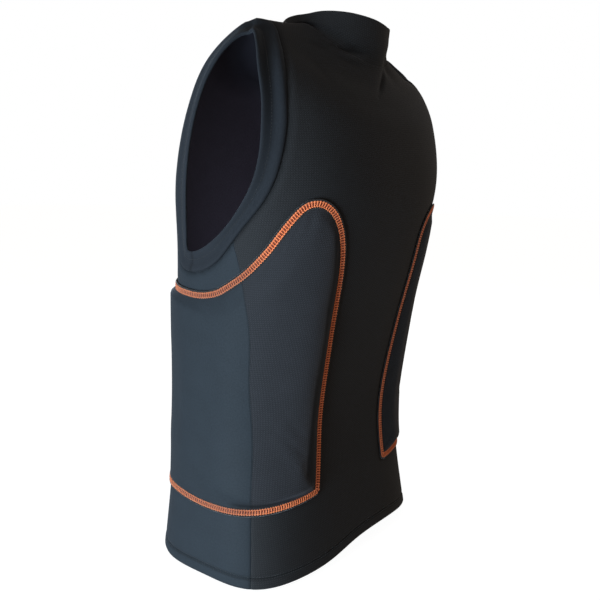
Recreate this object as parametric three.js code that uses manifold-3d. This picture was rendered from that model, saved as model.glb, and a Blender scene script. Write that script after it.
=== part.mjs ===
// Body protector: a sleeveless pull-over vest of stretch fabric with a foam pad over the ribs
// on each side. Millimetres, +Z up. The wearer faces -Y and the wearer's left is +X.
// Heights in the tables are measured from the level of the hem. The finished vest is then
// lowered so that the origin lies midway between the tops of the shoulders, which carry it.

import * as THREE from 'three';
import { ParametricGeometry } from 'three/addons/geometries/ParametricGeometry.js';
import { mergeVertices } from 'three/addons/utils/BufferGeometryUtils.js';
import Module from 'manifold-3d';

const wasm = await Module();
wasm.setup();

// Fabric and clearances
const WALL = 2;
const HEM_WALL = 3.2;
const COLLAR_WALL = 2.4;
const SEAM_GAP = 0.3;

// How finely the cloth is faceted, and the steps used to find its slope and its heights
const AROUND = 60;
const BODY_STEPS = 19;
const COLLAR_STEPS = 4;
const EGG_STEPS = 40;
const NORMAL_STEP = 0.01;
const HALVINGS = 30;

// Where the vest hangs on the shoulders
const SEAT = { y: 20, z: 606 };

// Level sections from hem to collar rim. Each is a rounded oblong: halfWidth to either side of
// the middle, sideY the depth at which it is widest, backY and frontY its ends. sideZ, backZ
// and frontZ are its heights there, square its squareness and fall how late the height changes
// on the way from the side to the back or front.
const SECTIONS = [
  {
    name: 'hem', halfWidth: 172, sideY: 2, sideZ: -8,
    backY: 101, backZ: 10, frontY: -114, frontZ: 10, square: 3.3, fall: 6,
  },
  {
    name: 'hip', halfWidth: 163, sideY: -4, sideZ: 80,
    backY: 90, backZ: 86, frontY: -110, frontZ: 82, square: 3.2, fall: 4,
  },
  {
    name: 'waist', halfWidth: 155, sideY: -10, sideZ: 170,
    backY: 85, backZ: 172, frontY: -108, frontZ: 170, square: 3.1, fall: 3,
  },
  {
    name: 'rib', halfWidth: 161, sideY: -4, sideZ: 270,
    backY: 100, backZ: 270, frontY: -107, frontZ: 270, square: 3, fall: 3,
  },
  {
    name: 'armpit', halfWidth: 167, sideY: 4, sideZ: 360,
    backY: 121, backZ: 360, frontY: -104, frontZ: 358, square: 2.9, fall: 3,
  },
  {
    name: 'chest', halfWidth: 173, sideY: 10, sideZ: 440,
    backY: 135, backZ: 438, frontY: -101, frontZ: 434, square: 2.8, fall: 2.8,
  },
  {
    name: 'yoke', halfWidth: 167, sideY: 14, sideZ: 520,
    backY: 131, backZ: 496, frontY: -92, frontZ: 495, square: 2.5, fall: 2.2,
  },
  {
    name: 'cap', halfWidth: 151, sideY: 16, sideZ: 578,
    backY: 120, backZ: 524, frontY: -77, frontZ: 534, square: 2.2, fall: 1.5,
  },
  {
    name: 'ridge', halfWidth: 118, sideY: 20, sideZ: 606,
    backY: 108, backZ: 546, frontY: -54, frontZ: 552, square: 1.9, fall: 1.1,
  },
  {
    name: 'neck', halfWidth: 64, sideY: 38, sideZ: 604,
    backY: 101, backZ: 566, frontY: -26, frontZ: 558, square: 2, fall: 1.4,
  },
  {
    name: 'roll', halfWidth: 64, sideY: 39, sideZ: 612,
    backY: 104, backZ: 588, frontY: -27, frontZ: 582, square: 2, fall: 1.7,
  },
  {
    name: 'rim', halfWidth: 62, sideY: 40, sideZ: 620,
    backY: 103, backZ: 608, frontY: -20, frontZ: 604, square: 2, fall: 2.4,
  },
];
const COLUMNS = Object.keys(SECTIONS[0]).filter((column) => column !== 'name');
const LAST_ROW = SECTIONS.length - 1;
const NECK_ROW = SECTIONS.findIndex((section) => section.name === 'neck');
const HEM_FOLD_ROW = 0.16;
const HEM_STEP = 0.04;
const COLLAR_FIRST_ROW = NECK_ROW + 0.05;

// Dents in the cloth where the collar slumps: angle in degrees from the wearer's left towards
// the back, row in the table above, depth in millimetres, and how far each spreads.
const FOLDS = [
  { name: 'left slump', angle: 14, row: 9.6, depth: 3, angleSpread: 14, rowSpread: 0.5 },
  { name: 'nape crease', angle: 62, row: 9.4, depth: 2.5, angleSpread: 24, rowSpread: 0.35 },
  { name: 'right tuck', angle: 112, row: 8.9, depth: 3, angleSpread: 9, rowSpread: 0.6 },
  { name: 'right slump', angle: 165, row: 9.7, depth: 3, angleSpread: 16, rowSpread: 0.5 },
];

// Armholes: a tilted egg in the side view, seen along a line that rises outwards.
const ARMHOLE = {
  y: 10,
  z: 473,
  tilt: THREE.MathUtils.degToRad(14),
  halfHeight: 121,
  back: 58,
  front: 35,
  taper: 0.18,
  rise: 0.5,
  edgeX: 145,
  startX: 70,
  reach: 170,
};
const BAND = { width: 24, proud: 0.8, wall: 3.4 };

// The line of the side seam, which runs on as the shoulder seam above the armhole.
const SEAM = [
  { z: -60, y: 68 },
  { z: 5, y: 62 },
  { z: 95, y: 53 },
  { z: 206, y: 48 },
  { z: 310, y: 52 },
  { z: 365, y: 41 },
  { z: 440, y: 24 },
  { z: 540, y: 18 },
  { z: 700, y: 20 },
];
const SEAM_STEPS = 28;
const CUTTER_REACH = 320;

// Foam pads. Angles as for the folds, heights at the side of the vest.
const PAD = {
  backAngle: 54,
  frontAngle: -60,
  thickness: 9,
  lip: 2,
  lipWidth: 3,
  bevel: 11,
  clearance: 0.9,
  dipHeight: 317,
  dipAngle: 2,
  apexHeight: 422,
  apexAngle: 42,
  bottomHeight: 79,
  bottomMiddle: 8,
  bottomLift: 8,
  columnStep: 6,
  middleRows: 8,
  millimetresPerDegree: 2.3,
};
// Rounded corners of the pad: the angle over which each turns, and the height that it takes.
const PAD_CORNERS = {
  backTop: { span: 14, height: 67 },
  backBottom: { span: 3, height: 7 },
  frontTop: { span: 13, height: 32 },
  frontBottom: { span: 12, height: 28 },
};

function blend(before, from, to, after, part) {
  const leaving = (to - before) / 2;
  const arriving = (after - from) / 2;
  const part2 = part * part;
  const part3 = part2 * part;
  const start = (2 * part3 - 3 * part2 + 1) * from + (part3 - 2 * part2 + part) * leaving;
  return start + (3 * part2 - 2 * part3) * to + (part3 - part2) * arriving;
}

function sectionAt(row) {
  const index = THREE.MathUtils.clamp(Math.floor(row), 0, LAST_ROW - 1);
  const section = {};
  for (const column of COLUMNS) {
    const from = SECTIONS[index][column];
    const to = SECTIONS[index + 1][column];
    const before = index > 0 ? SECTIONS[index - 1][column] : 2 * from - to;
    const after = index + 2 <= LAST_ROW ? SECTIONS[index + 2][column] : 2 * to - from;
    section[column] = blend(before, from, to, after, row - index);
  }
  return section;
}

function clothPoint(angle, row) {
  const section = sectionAt(row);
  const across = Math.cos(angle);
  const along = Math.sin(angle);
  const towardsBack = along > 0;
  const depth = towardsBack ? section.backY - section.sideY : section.sideY - section.frontY;
  const endZ = towardsBack ? section.backZ : section.frontZ;
  const wide = Math.abs(across / section.halfWidth) ** section.square;
  const deep = Math.abs(along / depth) ** section.square;
  const radius = (wide + deep) ** (-1 / section.square);
  const share = (radius * Math.abs(along)) / depth;
  const z = section.sideZ + (endZ - section.sideZ) * share ** section.fall;
  return new THREE.Vector3(radius * across, section.sideY + radius * along, z);
}

function foldDepth(angle, row) {
  const degrees = THREE.MathUtils.euclideanModulo(THREE.MathUtils.radToDeg(angle) + 90, 360) - 90;
  let total = 0;
  for (const fold of FOLDS) {
    const aside = (degrees - fold.angle) / fold.angleSpread;
    const above = (row - fold.row) / fold.rowSpread;
    total += fold.depth * Math.exp(-aside * aside - above * above);
  }
  return total;
}

// A point on the cloth, lifted off its outer face by a distance.
function liftedPoint(angle, row, lift) {
  const low = Math.max(row - NORMAL_STEP, 0);
  const high = Math.min(row + NORMAL_STEP, LAST_ROW);
  const round = clothPoint(angle + NORMAL_STEP, row).sub(clothPoint(angle - NORMAL_STEP, row));
  const upward = clothPoint(angle, high).sub(clothPoint(angle, low));
  const normal = round.cross(upward).normalize();
  return clothPoint(angle, row).addScaledVector(normal, lift - foldDepth(angle, row));
}

// A copy with only its points, each held once.
function joinedPoints(geometry) {
  const bare = geometry.clone();
  bare.deleteAttribute('normal');
  bare.deleteAttribute('uv');
  return mergeVertices(bare);
}

function toSolid(geometry) {
  const merged = joinedPoints(geometry);
  const vertProperties = new Float32Array(merged.attributes.position.array);
  const triVerts = new Uint32Array(merged.index.array);
  return new wasm.Manifold(new wasm.Mesh({ numProp: 3, vertProperties, triVerts }));
}

function toGeometry(solid) {
  const mesh = solid.getMesh();
  const geometry = new THREE.BufferGeometry();
  geometry.setAttribute('position', new THREE.BufferAttribute(mesh.vertProperties, 3));
  geometry.setIndex(new THREE.BufferAttribute(mesh.triVerts, 1));
  geometry.computeVertexNormals();
  return geometry;
}

// The same shape on the wearer's other side.
function mirrored(geometry) {
  const copy = geometry.clone().applyMatrix4(new THREE.Matrix4().makeScale(-1, 1, 1));
  const corners = copy.index.array;
  for (let i = 0; i < corners.length; i += 3) {
    const second = corners[i + 1];
    corners[i + 1] = corners[i + 2];
    corners[i + 2] = second;
  }
  copy.computeVertexNormals();
  return copy;
}

// A ring of cloth: up its outer face through the rows and down its inner face.
function clothRing(rows, outerLift, innerLift) {
  const up = rows.map((row) => ({ row, lift: outerLift }));
  const down = rows.map((row) => ({ row, lift: innerLift(row) })).reverse();
  const stations = [...up, ...down];
  const place = (u, v, target) => {
    const angle = (2 * Math.PI * (Math.round(u * AROUND) % AROUND)) / AROUND;
    const station = stations[Math.round(v * stations.length) % stations.length];
    target.copy(liftedPoint(angle, station.row, station.lift));
  };
  return new ParametricGeometry(place, AROUND, stations.length);
}

function evenRows(first, last, steps) {
  const rows = [];
  for (let i = 0; i <= steps; i += 1) {
    rows.push(THREE.MathUtils.lerp(first, last, i / steps));
  }
  return rows;
}

function armholeOutline(grow) {
  const points = [];
  for (let i = 0; i < EGG_STEPS; i += 1) {
    const turn = (2 * Math.PI * i) / EGG_STEPS;
    const up = (ARMHOLE.halfHeight + grow) * Math.cos(turn);
    const reach = (Math.sin(turn) > 0 ? ARMHOLE.back : ARMHOLE.front) + grow;
    const out = reach * Math.sin(turn) * (1 - ARMHOLE.taper * Math.cos(turn));
    const y = ARMHOLE.y + out * Math.cos(ARMHOLE.tilt) + up * Math.sin(ARMHOLE.tilt);
    const z = ARMHOLE.z - out * Math.sin(ARMHOLE.tilt) + up * Math.cos(ARMHOLE.tilt);
    points.push(new THREE.Vector2(y, z));
  }
  return new THREE.Shape(points);
}

// A prism whose outline is drawn in the side view, y across and z up, and pushed outwards.
function sideways(outline, depth, start, outward) {
  const geometry = new THREE.ExtrudeGeometry(outline, { depth, bevelEnabled: false });
  const across = new THREE.Vector3(0, 1, 0);
  const up = new THREE.Vector3(0, 0, 1);
  const placing = new THREE.Matrix4().makeBasis(across, up, outward);
  placing.setPosition(start);
  return geometry.applyMatrix4(placing);
}

// A solid that fills the wearer's left armhole, grown all round.
function armholePlug(grow) {
  const start = new THREE.Vector3(ARMHOLE.startX, 0, ARMHOLE.rise * (ARMHOLE.startX - ARMHOLE.edgeX));
  const outward = new THREE.Vector3(1, 0, ARMHOLE.rise);
  return joinedPoints(sideways(armholeOutline(grow), ARMHOLE.reach, start, outward));
}

// All the space behind the seam line, which may be set back by a gap.
function spaceBehindSeam(setBack) {
  const line = new THREE.SplineCurve(SEAM.map((point) => new THREE.Vector2(point.y + setBack, point.z)));
  const points = line.getPoints(SEAM_STEPS);
  const low = points[0].y;
  const high = points[points.length - 1].y;
  points.push(new THREE.Vector2(CUTTER_REACH, high), new THREE.Vector2(CUTTER_REACH, low));
  const start = new THREE.Vector3(-CUTTER_REACH, 0, 0);
  return sideways(new THREE.Shape(points), 2 * CUTTER_REACH, start, new THREE.Vector3(1, 0, 0));
}

// How far a rounded corner draws an edge in, at an angle short of the pad's end.
function cornerInset(degreesToEnd, corner) {
  if (degreesToEnd >= corner.span) {
    return 0;
  }
  const across = 1 - degreesToEnd / corner.span;
  return corner.height * (1 - Math.sqrt(Math.max(0, 1 - across * across)));
}

function padTop(degrees) {
  const rise = THREE.MathUtils.smoothstep(degrees, PAD.dipAngle, PAD.apexAngle);
  const height = THREE.MathUtils.lerp(PAD.dipHeight, PAD.apexHeight, rise);
  const atBack = cornerInset(PAD.backAngle - degrees, PAD_CORNERS.backTop);
  const atFront = cornerInset(degrees - PAD.frontAngle, PAD_CORNERS.frontTop);
  return height - atBack - atFront;
}

function padBottom(degrees) {
  const aside = (degrees - PAD.bottomMiddle) / (PAD.backAngle - PAD.bottomMiddle);
  const atBack = cornerInset(PAD.backAngle - degrees, PAD_CORNERS.backBottom);
  const atFront = cornerInset(degrees - PAD.frontAngle, PAD_CORNERS.frontBottom);
  return PAD.bottomHeight + PAD.bottomLift * aside * aside + atBack + atFront;
}

// The table row at which the side of the vest has a height.
function rowAtHeight(height) {
  let low = 0;
  let high = NECK_ROW - 1;
  for (let i = 0; i < HALVINGS; i += 1) {
    const middle = (low + high) / 2;
    if (sectionAt(middle).sideZ < height) {
      low = middle;
    } else {
      high = middle;
    }
  }
  return low;
}

function padColumns() {
  const lip = PAD.lipWidth / PAD.millimetresPerDegree;
  const bevel = PAD.bevel / PAD.millimetresPerDegree;
  const columns = [PAD.frontAngle, PAD.frontAngle + lip, PAD.frontAngle + bevel];
  let degrees = PAD.frontAngle + PAD.columnStep;
  while (degrees < PAD.backAngle - bevel) {
    columns.push(degrees);
    degrees += PAD.columnStep;
  }
  columns.push(PAD.backAngle - bevel, PAD.backAngle - lip, PAD.backAngle);
  return columns;
}

function padRows(low, high) {
  const rows = [low, low + PAD.lipWidth];
  for (let i = 0; i <= PAD.middleRows; i += 1) {
    rows.push(THREE.MathUtils.lerp(low + PAD.bevel, high - PAD.bevel, i / PAD.middleRows));
  }
  rows.push(high - PAD.lipWidth, high);
  return rows;
}

// Thickness of the pad at a distance from its seam: a thin lip, a bevel and a flat top.
function padThickness(distance) {
  if (distance <= PAD.lipWidth) {
    return (PAD.lip * distance) / PAD.lipWidth;
  }
  const part = Math.min((distance - PAD.lipWidth) / (PAD.bevel - PAD.lipWidth), 1);
  return THREE.MathUtils.lerp(PAD.lip, PAD.thickness, part);
}

// A pad on the wearer's left: its outer face from bottom to top, then its inner face back down.
function padGeometry() {
  const columns = padColumns();
  const grid = columns.map((degrees) => padRows(padBottom(degrees), padTop(degrees)));
  const rowCount = grid[0].length;
  const stationCount = 2 * (rowCount - 1);
  const place = (u, v, target) => {
    const column = Math.round(u * (columns.length - 1));
    const station = Math.round(v * stationCount) % stationCount;
    const outside = station < rowCount;
    const index = outside ? station : stationCount - station;
    const degrees = columns[column];
    const heights = grid[column];
    const toEnds = Math.min(degrees - PAD.frontAngle, PAD.backAngle - degrees) * PAD.millimetresPerDegree;
    const toEdges = Math.min(heights[index] - heights[0], heights[rowCount - 1] - heights[index]);
    const thickness = outside ? padThickness(Math.max(Math.min(toEnds, toEdges), 0)) : 0;
    const angle = THREE.MathUtils.degToRad(degrees);
    target.copy(liftedPoint(angle, rowAtHeight(heights[index]), PAD.clearance + thickness));
  };
  return new ParametricGeometry(place, columns.length - 1, stationCount);
}

const vest = new THREE.Group();
vest.position.set(0, -SEAT.y, -SEAT.z);

function addPiece(name, geometry, color, roughness) {
  const material = new THREE.MeshStandardMaterial({ color, roughness, metalness: 0 });
  const mesh = new THREE.Mesh(geometry, material);
  mesh.name = name;
  vest.add(mesh);
}

// Panels: one wall from hem to neck, thicker at the folded hem, open at the armholes and
// parted along the side and shoulder seams.
const bodyRows = [0, HEM_FOLD_ROW, ...evenRows(HEM_FOLD_ROW + HEM_STEP, NECK_ROW, BODY_STEPS)];
const bodyWall = clothRing(bodyRows, 0, (row) => (row <= HEM_FOLD_ROW ? -HEM_WALL : -WALL));
const leftOpening = armholePlug(BAND.width);
const body = toSolid(bodyWall).subtract(toSolid(leftOpening)).subtract(toSolid(mirrored(leftOpening)));
const backPanel = body.intersect(toSolid(spaceBehindSeam(0)));
const frontPanel = body.subtract(toSolid(spaceBehindSeam(-SEAM_GAP)));
addPiece('front_panel', toGeometry(frontPanel), 0x2c343a, 0.7);
addPiece('back_panel', toGeometry(backPanel), 0x25282d, 0.85);

// Collar: a soft ring that stands on the neck edge of the panels.
const collarRows = evenRows(COLLAR_FIRST_ROW, LAST_ROW, COLLAR_STEPS);
addPiece('collar', toGeometry(toSolid(clothRing(collarRows, 0, () => -COLLAR_WALL))), 0x25292d, 0.8);

// Armhole bands: folded strips that fill the space between the panels' edge and the armhole.
const bandWall = clothRing(evenRows(0, NECK_ROW, BODY_STEPS), BAND.proud, () => BAND.proud - BAND.wall);
const bandSpace = toSolid(armholePlug(BAND.width - SEAM_GAP)).subtract(toSolid(armholePlug(0)));
const leftBand = toGeometry(toSolid(bandWall).intersect(bandSpace));
addPiece('armhole_band_left', leftBand, 0x2a3036, 0.75);
addPiece('armhole_band_right', mirrored(leftBand), 0x2a3036, 0.75);

// Pads over the ribs, one each side.
const leftPad = toGeometry(toSolid(padGeometry()));
addPiece('side_pad_left', leftPad, 0x2e363c, 0.75);
addPiece('side_pad_right', mirrored(leftPad), 0x2e363c, 0.75);

export default vest;
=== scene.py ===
import math

import bmesh
import bpy
import numpy as np
from mathutils import Matrix, Vector
from mathutils.kdtree import KDTree


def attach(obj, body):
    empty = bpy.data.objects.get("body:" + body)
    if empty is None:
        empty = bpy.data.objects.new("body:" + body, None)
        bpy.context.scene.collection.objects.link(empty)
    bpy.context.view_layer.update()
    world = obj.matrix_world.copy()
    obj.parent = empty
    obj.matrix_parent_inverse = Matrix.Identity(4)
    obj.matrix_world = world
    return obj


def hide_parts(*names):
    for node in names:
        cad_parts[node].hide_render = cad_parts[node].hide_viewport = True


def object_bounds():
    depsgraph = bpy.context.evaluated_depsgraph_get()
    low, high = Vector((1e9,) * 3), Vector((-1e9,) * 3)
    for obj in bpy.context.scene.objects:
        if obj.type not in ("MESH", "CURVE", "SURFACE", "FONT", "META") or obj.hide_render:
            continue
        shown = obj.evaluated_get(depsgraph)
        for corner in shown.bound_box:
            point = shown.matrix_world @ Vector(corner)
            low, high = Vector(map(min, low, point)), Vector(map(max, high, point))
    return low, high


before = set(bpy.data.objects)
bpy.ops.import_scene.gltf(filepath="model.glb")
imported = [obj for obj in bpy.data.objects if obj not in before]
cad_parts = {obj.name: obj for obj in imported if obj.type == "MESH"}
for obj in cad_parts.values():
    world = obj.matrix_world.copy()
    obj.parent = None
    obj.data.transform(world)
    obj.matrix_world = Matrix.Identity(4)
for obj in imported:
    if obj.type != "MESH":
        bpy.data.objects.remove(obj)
cad_low, cad_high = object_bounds()


# Foam pads
# A slab of foam, mostly 6 to 12 mm thick, lies over the ribs on each side, under a cover of the
# same stretch fabric as the vest. The cover is sewn down all round, so the slab shows as a raised
# shape with a sloped edge. The side seam of the vest crosses the cover.

SHOULDERS = np.array((0.0, 0.020, 0.606))
SECTIONS = np.array((
    # half width, side y, side z, back y, back z, front y, front z, squareness, fall
    (0.172, 0.002, -0.0035, 0.101, 0.010, -0.114, 0.010, 3.3, 6.0),
    (0.163, -0.004, 0.080, 0.090, 0.086, -0.110, 0.082, 3.2, 4.0),
    (0.155, -0.010, 0.170, 0.085, 0.172, -0.108, 0.170, 3.1, 3.0),
    (0.161, -0.004, 0.270, 0.100, 0.270, -0.107, 0.270, 3.0, 3.0),
    (0.167, 0.004, 0.360, 0.121, 0.360, -0.104, 0.358, 2.9, 3.0),
    (0.173, 0.010, 0.440, 0.135, 0.438, -0.101, 0.434, 2.8, 2.8),
    (0.167, 0.014, 0.520, 0.131, 0.496, -0.092, 0.495, 2.5, 2.2),
    (0.151, 0.016, 0.578, 0.120, 0.524, -0.077, 0.534, 2.2, 1.5),
    (0.118, 0.020, 0.606, 0.108, 0.546, -0.054, 0.552, 1.9, 1.1),
    (0.064, 0.038, 0.604, 0.101, 0.566, -0.026, 0.558, 2.0, 1.4),
    (0.064, 0.039, 0.612, 0.104, 0.588, -0.027, 0.582, 2.0, 1.7),
    (0.062, 0.040, 0.620, 0.103, 0.608, -0.020, 0.604, 2.0, 2.4),
))
HEM_DROOP = 0.010
DROOP_MIDDLE = 52
DROOP_SPREAD = 28
DROOP_TOP = 1.2
NECK_ROW = 9.0
RIM_ROW = 11.0
EXTENDED = np.vstack((2 * SECTIONS[0] - SECTIONS[1], SECTIONS, 2 * SECTIONS[-1] - SECTIONS[-2]))

DENTS = np.array((
    # angle and row of the middle, depth in metres, spread in degrees and in rows
    (112, 8.9, 0.0030, 9, 0.60),
    (118, 10.0, 0.0035, 18, 0.90),
    (165, 9.7, 0.0030, 16, 0.50),
    (165, 8.15, 0.0105, 18, 0.60),
    (163, 7.45, 0.0062, 14, 0.45),
    (170, 8.72, 0.0050, 26, 0.40),
    (6, 9.05, -0.0050, 20, 0.45),
    (-38, 3.6, 0.0040, 22, 1.30),
    (218, 3.6, 0.0040, 22, 1.30),
    (155, 3.2, 0.0042, 22, 1.60),
))
LOWEST_CREASE = 6.5
CREASE_POINTS = 40
CREASE_ENDS = (0.08, 0.92)
CREASES = (
    # angle and row at both ends, depth and width in metres; a roll of cloth has a negative depth
    (34, 8.90, 72, 9.44, 0.0024, 0.0021),
    (46, 9.30, 66, 9.54, 0.0012, 0.0016),
    (40, 8.70, 74, 9.20, -0.0010, 0.0050),
    (40, 8.55, 66, 8.75, 0.0010, 0.0040),
    (2, 9.74, 19, 9.51, 0.0016, 0.0022),
    (4, 9.45, 20, 9.25, -0.0008, 0.0040),
    (100, 8.95, 78, 7.35, 0.0024, 0.0030),
    (94, 9.05, 72, 7.50, -0.0008, 0.0060),
    (30, 8.10, 46, 7.10, 0.0006, 0.0060),
    (22, 8.40, 38, 8.75, 0.0008, 0.0045),
)


def through_points(part, before, start, end, after):
    """A smooth curve from start to end, led by the points before and after them."""
    leaving, arriving = (end - before) / 2, (after - start) / 2
    curve = (2 * part**3 - 3 * part**2 + 1) * start + (part**3 - 2 * part**2 + part) * leaving
    return curve + (3 * part**2 - 2 * part**3) * end + (part**3 - part**2) * arriving


def section_at(row):
    index = np.clip(np.floor(row).astype(int), 0, len(SECTIONS) - 2)
    return through_points((row - index)[..., None], *(EXTENDED[index + k] for k in range(4)))


def hump(value, middle, spread):
    """A rounded rise to 1 at the middle."""
    return np.exp(-(((value - middle) / spread) ** 2))


def ramp(value, start, end):
    """A straight rise from 0 at the start to 1 at the end."""
    return np.clip((value - start) / (end - start), 0, 1)


def form_point(angle, row):
    """A point of the trunk's form, measured from the middle of the hem."""
    section = np.moveaxis(section_at(row), -1, 0)
    half, side_y, side_z, back_y, back_z, front_y, front_z, square, fall = section
    across, along = np.cos(angle), np.sin(angle)
    behind = along > 0
    depth = np.where(behind, back_y - side_y, side_y - front_y)
    end_z = np.where(behind, back_z, front_z)
    radius = (np.abs(across / half) ** square + np.abs(along / depth) ** square) ** (-1 / square)
    share = radius * np.abs(along) / depth
    height = side_z + (end_z - side_z) * share**fall
    degrees = (np.degrees(angle) + 180) % 360 - 180
    droop = HEM_DROOP * hump(degrees, DROOP_MIDDLE, DROOP_SPREAD)
    height = height - droop * ramp(row, DROOP_TOP, 0) ** 2
    return np.stack((radius * across, side_y + radius * along, height), axis=-1)


FRAME_STEP = 0.004


def form_frame(angle, row):
    """The directions round the form, up it and out of it."""
    around = form_point(angle + FRAME_STEP, row) - form_point(angle - FRAME_STEP, row)
    above = form_point(angle, np.minimum(row + FRAME_STEP, RIM_ROW))
    up = above - form_point(angle, np.maximum(row - FRAME_STEP, 0))
    out = np.cross(around, up)
    return tuple(v / np.linalg.norm(v, axis=-1, keepdims=True) for v in (around, up, out))


def crease_depth(angle, row):
    """How far the cloth sinks in at its creases."""
    total = np.zeros_like(row)
    if np.max(row) > LOWEST_CREASE:
        point = form_point(angle, row)
        share = np.linspace(0, 1, CREASE_POINTS)
        taper = np.sin(math.pi * np.clip(share, *CREASE_ENDS))
        for from_angle, from_row, to_angle, to_row, depth, width in CREASES:
            turn = np.radians(from_angle + (to_angle - from_angle) * share)
            line = form_point(turn, from_row + (to_row - from_row) * share)
            away = np.linalg.norm(point[..., None, :] - line, axis=-1)
            total += depth * taper[np.argmin(away, axis=-1)] * hump(np.min(away, axis=-1), 0, width)
    return total


def fold_depth(angle, row):
    """How far the cloth sinks in at its dents and creases."""
    total = crease_depth(angle, row)
    for middle, dent_row, depth, spread, row_spread in DENTS:
        aside = ((np.degrees(angle) - middle + 180) % 360 - 180) / spread
        above = (row - dent_row) / row_spread
        total += depth * np.exp(-aside**2 - above**2)
    return total


def cloth_point(angle, row, lift):
    """A point at a distance out of the cloth's outer face, folds counted."""
    out = form_frame(angle, row)[2]
    return form_point(angle, row) + out * (lift - fold_depth(angle, row))[..., None]


HALVINGS = 36


def last_below(low, high, is_below):
    """Halves the range from low to high until it closes on the last value that is below."""
    for _ in range(HALVINGS):
        middle = (low + high) / 2
        below = is_below(middle)
        low = np.where(below, middle, low)
        high = np.where(below, high, middle)
    return low


def row_at_height(angle, height):
    return last_below(np.zeros_like(angle), np.full_like(angle, NECK_ROW - 2),
                      lambda row: form_point(angle, row)[..., 2] < height)


def smooth_through(knots, values, at):
    """A smooth line through values at knots."""
    slopes = np.gradient(values, knots)
    index = np.clip(np.searchsorted(knots, at) - 1, 0, len(knots) - 2)
    span = knots[index + 1] - knots[index]
    part = (at - knots[index]) / span
    start = (1 + 2 * part) * values[index] + part * span * slopes[index]
    end = (3 - 2 * part) * values[index + 1] + (part - 1) * span * slopes[index + 1]
    return (1 - part) ** 2 * start + part**2 * end


SIDE_SEAM = np.array((
    # height and depth of the seam between the front and the back
    (-0.060, 0.068), (0.005, 0.062), (0.095, 0.053), (0.206, 0.048), (0.310, 0.052),
    (0.365, 0.041), (0.440, 0.024), (0.540, 0.018), (0.700, 0.020),
))


def behind_seam(point):
    """How far a point lies behind the side seam."""
    return point[..., 1] - smooth_through(SIDE_SEAM[:, 0], SIDE_SEAM[:, 1], point[..., 2])


PAD_CORNERS = (0, 9, 17, 32)
PAD_OUTLINE = np.array((
    # angle in degrees, height, width of the sloped edge, along the bottom from the front
    (-57.0, 0.096, 0.020), (-52, 0.089, 0.044), (-44, 0.086, 0.052), (-30, 0.084, 0.048),
    (-16, 0.082, 0.036), (0, 0.078, 0.026), (20, 0.080, 0.012), (38, 0.085, 0.011),
    (47.5, 0.0885, 0.012), (50.3, 0.0905, 0.013),
    # up the back
    (50.8, 0.0960, 0.0190), (51.9, 0.115, 0.0230), (53.2, 0.150, 0.0220), (54, 0.220, 0.0190),
    (54.2, 0.300, 0.0165), (53.8, 0.352, 0.0135), (51.8, 0.384, 0.0100),
    # along the top
    (48.2, 0.406, 0.0085), (44, 0.418, 0.0110), (39.5, 0.422, 0.0150), (35, 0.417, 0.0200),
    (30, 0.399, 0.0240), (24, 0.372, 0.0260), (17, 0.348, 0.0260), (10, 0.332, 0.0230),
    (4, 0.322, 0.0190), (-4, 0.317, 0.0140), (-14, 0.317, 0.0090), (-26, 0.319, 0.0055),
    (-38, 0.320, 0.0045), (-48, 0.319, 0.0045), (-54, 0.315, 0.0060), (-57.6, 0.303, 0.0080),
    # down the front
    (-59.4, 0.284, 0.0100), (-60, 0.250, 0.0100), (-60, 0.200, 0.0100), (-60, 0.150, 0.0110),
    (-59.2, 0.115, 0.0140),
))
FOOT_HEIGHT = 0.110
RIGHT_TURNS = (
    # added degrees, the heights where they start and are full, the angle behind which they count
    (4, 0.24, 0.10, 40), (5, 0.33, 0.40, 30),
)
RIGHT_FOOT_RISE = 0.011
RIGHT_FOOT_DEGREES = (26, 16)
RIGHT_LOWER = 0.014
RIGHT_LOWER_HEIGHTS = (0.33, 0.422)
PAD_CLEARANCE = 0.0009
PAD_LIP = 0.0008
LIP_WIDTH = 0.0034
OUTLINE_STEPS = 24


def closed_line(points, steps):
    """A smooth closed line through points, with steps from each to the next."""
    part = (np.arange(steps) / steps)[None, :, None]
    neighbours = (np.roll(points, 1 - k, axis=0)[:, None] for k in range(4))
    line = through_points(part, *neighbours)
    return line.reshape(-1, points.shape[1])


def pad_angle(degrees, right):
    """The angle on the form of a place on the left or the right pad."""
    return np.radians(180 - degrees if right else degrees)


# The right pad has a lower top and a raised foot, and it reaches further round the back.
right_outline = PAD_OUTLINE.copy()
degrees, height = PAD_OUTLINE[:, 0], PAD_OUTLINE[:, 1]
for turn, start, full, behind in RIGHT_TURNS:
    right_outline[:, 0] += turn * ramp(height, start, full) * (degrees > behind)
right_foot = hump(degrees, *RIGHT_FOOT_DEGREES) * (height < FOOT_HEIGHT)
right_outline[:, 1] += RIGHT_FOOT_RISE * right_foot
right_outline[:, 1] -= RIGHT_LOWER * ramp(height, *RIGHT_LOWER_HEIGHTS)
pad_lines = [closed_line(outline, OUTLINE_STEPS) for outline in (PAD_OUTLINE, right_outline)]
line_angle = np.concatenate([pad_angle(line[:, 0], right) for right, line in enumerate(pad_lines)])
line_row = row_at_height(line_angle, np.concatenate([line[:, 1] for line in pad_lines]))
pad_tree = KDTree(len(line_row))
for number, point in enumerate(form_point(line_angle, line_row)):
    pad_tree.insert(point, number)
pad_tree.balance()


def from_pad_seam(points):
    """Distance of each point from the nearer pad's seam."""
    return np.array([pad_tree.find(point)[2] for point in points])


def reached_along(points):
    """How far along a line each of its points is."""
    steps = np.linalg.norm(np.diff(points, axis=0), axis=1)
    return np.concatenate(((0,), np.cumsum(steps)))


def points_at(at, reached, line):
    """Points at distances along a line."""
    return np.stack([np.interp(at, reached, values) for values in line.T], axis=-1)


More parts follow.
